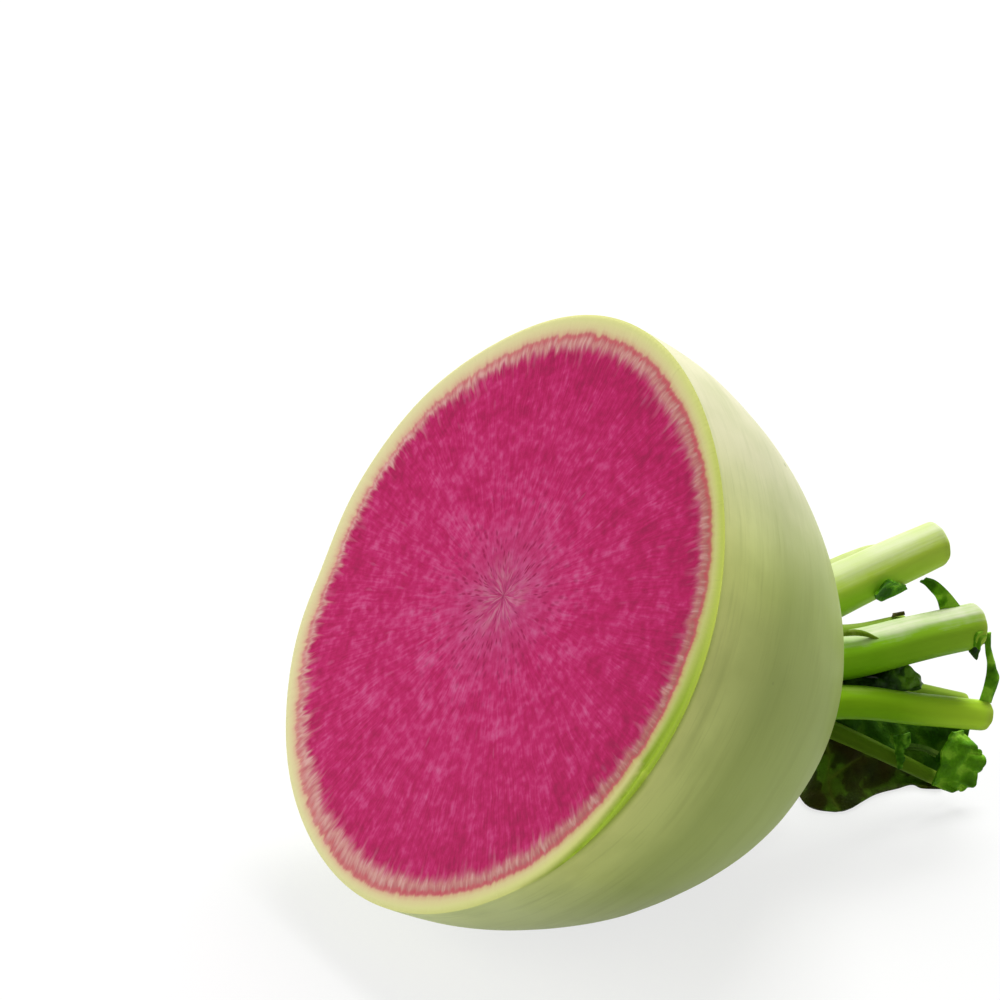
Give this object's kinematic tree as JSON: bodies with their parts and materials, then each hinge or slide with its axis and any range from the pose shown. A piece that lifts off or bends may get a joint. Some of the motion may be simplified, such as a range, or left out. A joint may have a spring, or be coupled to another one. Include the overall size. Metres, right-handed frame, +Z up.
{
  "type": "watermelon radish half",
  "caption": "Half of a round radish, the crown end, cut straight across: magenta flesh, thin pale rind, light green skin, with leaf stalks trimmed short and scraps of leaf.",
  "frame": {"origin": "middle of the footprint, on the surface the radish lies on", "axes": "+Z up; +X runs level from the cut face's side toward the leaf stalks; the radish's own axis lies in the XZ plane and dips 33.2 degrees toward the crown"},
  "size_m": [0.1024, 0.0845, 0.08],
  "materials": {
    "radish": "waxy pale green skin over a thin rind; the cut face is moist magenta flesh with fine rays",
    "pale_stalk": "smooth pale green leaf stalk, ribbed lengthwise",
    "stalk": "smooth green leaf stalk, paler along the top",
    "leaf": "fresh green leaf with paler veins",
    "dark_leaf": "dark green leaf, browned in places"
  },
  "bodies": {
    "root": {"radish_half": "radish", "upper_stalk": "pale_stalk", "upper_rear_stalk": "pale_stalk", "middle_stalk": "stalk", "middle_rear_stalk": "stalk", "lower_stalk": "stalk", "lower_rear_stalk": "stalk", "leafy_stalk": "stalk", "ground_leaf_stalk": "stalk", "far_upper_stalk": "stalk", "far_lower_stalk": "stalk", "ruffled_leaf": "leaf", "ground_leaf": "dark_leaf", "leaf_sliver": "leaf", "leaf_ribbon": "leaf", "curled_leaflet": "dark_leaf", "upper_leaflet": "leaf", "middle_leaflet": "leaf"}
  },
  "joints": []
}
